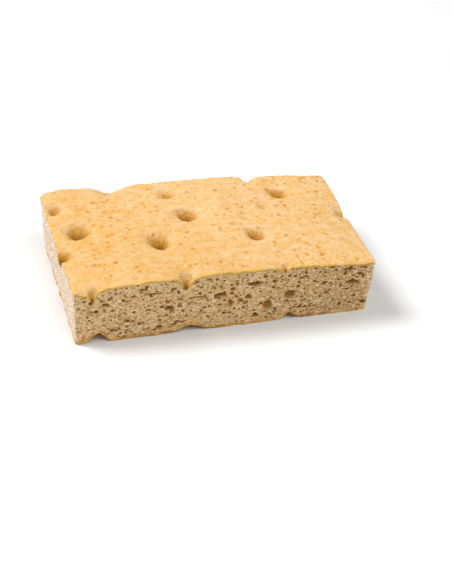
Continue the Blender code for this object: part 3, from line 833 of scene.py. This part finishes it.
def mottled_skin(tree, place):
    """The plain skin of the crust, mottled with cream and orange, with a painted highlight on the crests
    of its fine folds, and the noise of those folds.
    """
    broad = tree.ramp(tree.noise(place, BROAD_MOTTLE, 2.0), 0.35, 0.65, 0.0, 0.5)
    creamy = tree.ramp(tree.noise(place, CREAM_MOTTLE, 4.0, 0.75), 0.46, 0.62)
    gritty = tree.noise(tree.vector("ADD", place, ELSEWHERE), ORANGE_MOTTLE, 4.0, 0.75)
    folds = tree.noise(tree.vector("MULTIPLY", place, (0.55, 1.0, 1.0)), FOLD_SIZE, 3.0, 0.55)
    colour = tree.mix(broad, CRUST_TAN, CRUST_ORANGE)
    colour = tree.mix(tree.maths("MULTIPLY", creamy, 0.8), colour, CRUST_CREAM_AND_HIGHLIGHT)
    colour = tree.mix(tree.ramp(gritty, 0.50, 0.68, 0.0, 0.95), colour, CRUST_ORANGE)
    # The crests of the folds are painted paler: a painted highlight.
    colour = tree.mix(tree.ramp(folds, 0.42, 0.62, 0.0, 0.55), colour, CRUST_CREAM_AND_HIGHLIGHT)
    toasted = tree.ramp(tree.along(place, TO_TOASTED_CORNER), *TOASTED_STRETCH)
    return tree.mix(toasted, colour, CRUST_TOASTED, "MULTIPLY"), folds


def golden_line(tree, place):
    """How yellow the crust is along its rim: most over the near cut, uneven, and not in a dimple."""
    uneven = tree.maths("MULTIPLY", tree.noise(place, 1.8 * MM, 3.0, 0.65), 2.4 * MM)
    from_rim = tree.maths("ADD", tree.attribute("from_rim"), uneven)
    golden = tree.ramp(tree.noise(place, 5 * MM, 2.0), 0.35, 0.60, 0.45, 1.0)
    near = tree.ramp(tree.along(place, NEAR), *NEAR_RIM_STRETCH, 0.3, 1.0)
    golden = tree.maths("MULTIPLY", golden, near)
    golden = tree.maths("MULTIPLY", golden, tree.ramp(from_rim, 1.2 * MM, 2.6 * MM, 1.0, 0.0))
    return tree.maths("MULTIPLY", golden, tree.ramp(tree.attribute("pit"), 0.05, 0.4, 1.0, 0.0))


def spotted(tree, place, colour, layer, crowded):
    """Adds one layer of soft round spots to a skin. The more crowded, the more cells hold one."""
    spot = tree.vector("MULTIPLY", place, (1 / layer.spacing, 1 / layer.spacing, 0.0))
    spot = tree.vector("ADD", spot, tree.wander(place, 0.9 * MM, 0.3 * MM / layer.spacing))
    cells = tree.cells(spot, flat=True)
    chance = tree.split(cells.outputs["Color"])
    size = tree.maths("MULTIPLY_ADD", chance[0], layer.radius, layer.radius * 0.5)
    share = tree.maths("DIVIDE", cells.outputs["Distance"], size)
    shown = tree.maths("LESS_THAN", chance[1], crowded)
    halo = tree.ramp(share, 0.8, 2.2, 0.35 * layer.strength, 0.0)
    amount = tree.maths("MAXIMUM", tree.ramp(share, 0.5, 1.1, layer.strength, 0.0), halo)
    amount = tree.maths("MULTIPLY", amount, shown)
    return tree.mix(amount, colour, layer.colour)


def crumb_colour(tree):
    """Crumb with pale rims as painted highlight and brown pores as painted shade: shadier rightward,
    yellower where pressed, with painted highlight on the right edge and on the left and far sides.
    """
    place = tree.attribute("cut_place", vector=True)
    inward = tree.attribute("inward", vector=True)
    depth, rim = open_pores(tree, SHAPED_PORES)
    fine_depth, fine_rim = open_pores(tree, DRAWN_PORES)
    clouds = tree.ramp(tree.noise(place, 3.5 * MM, 2.0, 0.5), 0.35, 0.65)
    colour = tree.mix(clouds, CRUMB_PALE, CRUMB_TAN)
    rightward = tree.along(place, RIGHT)
    colour = tree.mix(tree.ramp(rightward, *SHADY_STRETCH, 0.0, 0.8), colour, CRUMB_SHADY)
    # A painted highlight along the right edge, where the rounded corner catches the light.
    lit_right_edge = tree.ramp(rightward, *LIT_RIGHT_EDGE_STRETCH, 0.0, 0.6)
    colour = tree.mix(lit_right_edge, colour, CRUMB_HIGHLIGHT)
    colour = tree.mix(tree.ramp(tree.attribute("pressed"), 0.2, 0.9), colour, CRUMB_PRESSED)
    rims = tree.maths("MAXIMUM", rim, tree.maths("MULTIPLY", fine_rim, 0.9))
    # The rims of the pores are painted pale: a painted highlight.
    colour = tree.mix(tree.maths("MULTIPLY", rims, 0.85), colour, CRUMB_HIGHLIGHT)
    # Pores are painted brown by their depth: painted shade in the hollows.
    colour = tree.mix(tree.ramp(fine_depth, *PORE_SHADE, 0.0, 0.6), colour, PORE_PAINTED_SHADE)
    colour = tree.mix(tree.ramp(depth, *PORE_SHADE, 0.0, 0.92), colour, PORE_PAINTED_SHADE)
    # Large bubbles are painted brown by their depth: painted shade in the hollows.
    bubble = tree.ramp(tree.attribute("bubble"), *BUBBLE_SHADE, 0.0, 0.95)
    colour = tree.mix(bubble, colour, BUBBLE_PAINTED_SHADE)
    # The left and far sides are painted paler where the key light falls on them: a painted highlight.
    lit_left = tree.ramp(tree.along(inward, RIGHT), *ON_WALL, 0.0, 0.88)
    lit_far = tree.ramp(tree.along(inward, NEAR), *ON_WALL, 0.0, 0.15)
    colour = tree.mix(tree.maths("MAXIMUM", lit_left, lit_far), colour, CRUMB_LIT_SIDE)
    dents = tree.maths("MULTIPLY", fine_depth, -0.4)
    return colour, tree.maths("MULTIPLY_ADD", rims, 0.14 * MM, dents)


def base_colour(tree, place):
    """Browned base: gold to brown in patches, with fine pan marks."""
    patches = tree.ramp(tree.noise(place, 6 * MM, 4.0, 0.7), 0.35, 0.65)
    colour = tree.mix(patches, BASE_GOLD, BASE_BROWN)
    colour = spotted(tree, place, colour, BASE_SPOTS, patches)
    marks = tree.maths("MULTIPLY", tree.noise(place, 0.9 * MM, 3.0, 0.6), 0.18 * MM)
    return colour, marks


def plain_finish(name, colour, roughness, varied):
    """A finish for small scattered things, varied a little from one to the next by place."""
    material = bpy.data.materials.new(name)
    material.use_nodes = True
    tree = Tree(material.node_tree)
    place = tree.node("ShaderNodeTexCoord").outputs["Object"]
    shade = tree.ramp(tree.noise(place, 2.0 * MM, 1.0), 0.3, 0.7)
    shader = tree.tree.nodes["Principled BSDF"]
    shader.inputs["Roughness"].default_value = roughness
    tree.tree.links.new(tree.mix(shade, colour, varied), shader.inputs["Base Color"])
    return material


# Small things sown over the bread: how many, the smallest and largest radius, how flat they are, how
# far they sink in, and the seed of their draws
Sowing = namedtuple("Sowing", "per_square_cm smallest largest flatness sunk seed")
BRAN_FLECKS = Sowing(1.0, 0.28 * MM, 0.66 * MM, 0.30, 0.06 * MM, 5)
PALE_GRAINS = Sowing(0.3, 0.25 * MM, 0.5 * MM, 0.45, 0.05 * MM, 9)
CRUMB_GRAINS = Sowing(5.0, 0.14 * MM, 0.34 * MM, 0.8, 0.0, 14)
PER_SQUARE_METRE = 1e4  # for one on each square centimetre
SLIMMEST = (0.55, 0.35, 0.7)
FULLEST = (1.0, 0.8, 1.2)
FULL_TURN = 6.28
FACING_UP = 0.6
CRUST_PATCHES = 14 * MM
CRUMB_PATCHES = 5 * MM


def sown(name, sowing, material, on_crust):
    """A tree that sows small flattened lumps over the crust or over the cut crumb of the bread."""
    sizes = {
        "Number Per Square Metre": sowing.per_square_cm * PER_SQUARE_METRE,
        "Smallest": sowing.smallest,
        "Largest": sowing.largest,
        "Flatness": sowing.flatness,
        "Sunk": sowing.sunk,
    }
    tree, inputs = new_geometry_tree(name, sizes)
    upright = tree.node("ShaderNodeSeparateXYZ", {0: tree.node("GeometryNodeInputNormal").outputs[0]})
    place = tree.node("GeometryNodeInputPosition").outputs[0]
    if on_crust:
        where = tree.maths("GREATER_THAN", upright.outputs["Z"], FACING_UP)
        patchy = tree.ramp(tree.noise(place, CRUST_PATCHES, 1.0), 0.35, 0.65, 0.35, 1.6)
    else:
        where = tree.maths("GREATER_THAN", tree.attribute("cut_open"), 0.5)
        patchy = tree.ramp(tree.noise(place, CRUMB_PATCHES, 1.0), 0.35, 0.65, 0.3, 1.5)
    density = tree.maths("MULTIPLY", inputs["Number Per Square Metre"], patchy)
    points = tree.node(
        "GeometryNodeDistributePointsOnFaces",
        {"Mesh": inputs["Geometry"], "Selection": where, "Density": density, "Seed": sowing.seed},
        distribute_method="RANDOM",
    )
    lump = tree.node("GeometryNodeMeshIcoSphere", {"Radius": 1.0, "Subdivisions": 1}).outputs["Mesh"]
    thin = tree.node("ShaderNodeCombineXYZ", {"X": 1.0, "Y": 1.0, "Z": inputs["Flatness"]}).outputs[0]
    radius = tree.node(
        "FunctionNodeRandomValue",
        {"Min": inputs["Smallest"], "Max": inputs["Largest"], "Seed": sowing.seed + 1},
        data_type="FLOAT",
    )
    radius = next(one for one in radius.outputs if one.enabled)
    slimmer = tree.node("FunctionNodeRandomValue", {"Seed": sowing.seed + 2}, data_type="FLOAT_VECTOR")
    slimmer.inputs["Min"].default_value = SLIMMEST
    slimmer.inputs["Max"].default_value = FULLEST
    shape = tree.scaled(tree.vector("MULTIPLY", thin, slimmer.outputs["Value"]), radius)
    spun = tree.node("FunctionNodeRandomValue", {"Seed": sowing.seed + 3}, data_type="FLOAT_VECTOR")
    spun.inputs["Min"].default_value = (0.0, 0.0, 0.0)
    spun.inputs["Max"].default_value = (0.0, 0.0, FULL_TURN)
    turn = tree.node(
        "FunctionNodeRotateRotation",
        {"Rotation": points.outputs["Rotation"], "Rotate By": spun.outputs["Value"]},
        rotation_space="LOCAL",
    ).outputs[0]
    lumps = tree.node(
        "GeometryNodeInstanceOnPoints",
        {"Points": points.outputs["Points"], "Instance": lump, "Rotation": turn, "Scale": shape},
    ).outputs[0]
    down = tree.scaled(points.outputs["Normal"], tree.maths("MULTIPLY", inputs["Sunk"], -1.0))
    sunk = {"Instances": lumps, "Translation": down, "Local Space": False}
    lumps = tree.node("GeometryNodeTranslateInstances", sunk).outputs[0]
    return finish_tree(tree, lumps, material), sizes


def scattered(name, sowing, material, bread, on_crust):
    """One kind of small thing sown over the finished bread."""
    group, sizes = sown(name, sowing, material, on_crust)
    return grown(name, bread.data.copy(), group, sizes)


def build_floor():
    """A plain white floor under the bread."""
    half = FLOOR_SIZE / 2
    mesh = bpy.data.meshes.new("floor")
    corners = [(-half, -half, 0.0), (half, -half, 0.0), (half, half, 0.0), (-half, half, 0.0)]
    mesh.from_pydata(corners, [], [(0, 1, 2, 3)])
    material = bpy.data.materials.new("floor_paper")
    material.use_nodes = True
    shader = material.node_tree.nodes["Principled BSDF"]
    shader.inputs["Base Color"].default_value = FLOOR_WHITE
    shader.inputs["Roughness"].default_value = 0.9
    mesh.materials.append(material)
    floor = bpy.data.objects.new("floor", mesh)
    bpy.context.scene.collection.objects.link(floor)
    return floor


def place_light(soft):
    """One of the soft lights, turned to face the bread."""
    data = bpy.data.lights.new(soft.name, "AREA")
    data.size = soft.size
    data.energy = soft.power
    light = bpy.data.objects.new(soft.name, data)
    light.location = soft.place
    light.rotation_euler = (-Vector(soft.place)).to_track_quat("-Z", "Y").to_euler()
    bpy.context.scene.collection.objects.link(light)


def light_studio():
    """White surroundings, a large light high at the far left, and a wider one high at the near right."""
    world = bpy.data.worlds.new("studio")
    bpy.context.scene.world = world
    world.use_nodes = True
    background = world.node_tree.nodes["Background"]
    background.inputs["Color"].default_value = WHITE
    background.inputs["Strength"].default_value = SURROUNDINGS
    place_light(KEY_LIGHT)
    place_light(FILL_LIGHT)
    bpy.context.scene.view_settings.view_transform = "Standard"


def place_camera():
    """The photograph's view of the near cut, the crust and the left side."""
    data = bpy.data.cameras.new("camera")
    data.lens = CAMERA_LENS
    camera = bpy.data.objects.new("camera", data)
    back = CAMERA_DOWN.cross(CAMERA_RIGHT)
    turn = Matrix((CAMERA_RIGHT, -CAMERA_DOWN, back)).transposed()
    camera.matrix_world = Matrix.LocRotScale(CAMERA_PLACE, turn.to_quaternion(), None)
    bpy.context.scene.collection.objects.link(camera)
    bpy.context.scene.camera = camera


def on_the_frame(piece):
    """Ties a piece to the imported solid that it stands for."""
    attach(piece, "root")
    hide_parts("focaccia")


place_camera()
light_studio()
build_floor()

crumb_and_crust = bread_finish()
bread = grown("bread", lattice_bread(), bread_relief(crumb_and_crust), BREAD_SIZES, BREAD_TRIANGLES)
bran = plain_finish("bran", BRAN_ORANGE, 0.7, BRAN_BROWN)
flour = plain_finish("flour", FLOUR_PALE, 0.8, CRUST_CREAM_AND_HIGHLIGHT)
loose_crumb = plain_finish("loose_crumb", CRUMB_PALE, 0.85, CRUMB_TAN)
pieces = [
    bread,
    scattered("bran_flecks", BRAN_FLECKS, bran, bread, True),
    scattered("pale_grains", PALE_GRAINS, flour, bread, True),
    scattered("crumb_grains", CRUMB_GRAINS, loose_crumb, bread, False),
]
for piece in pieces:
    on_the_frame(piece)
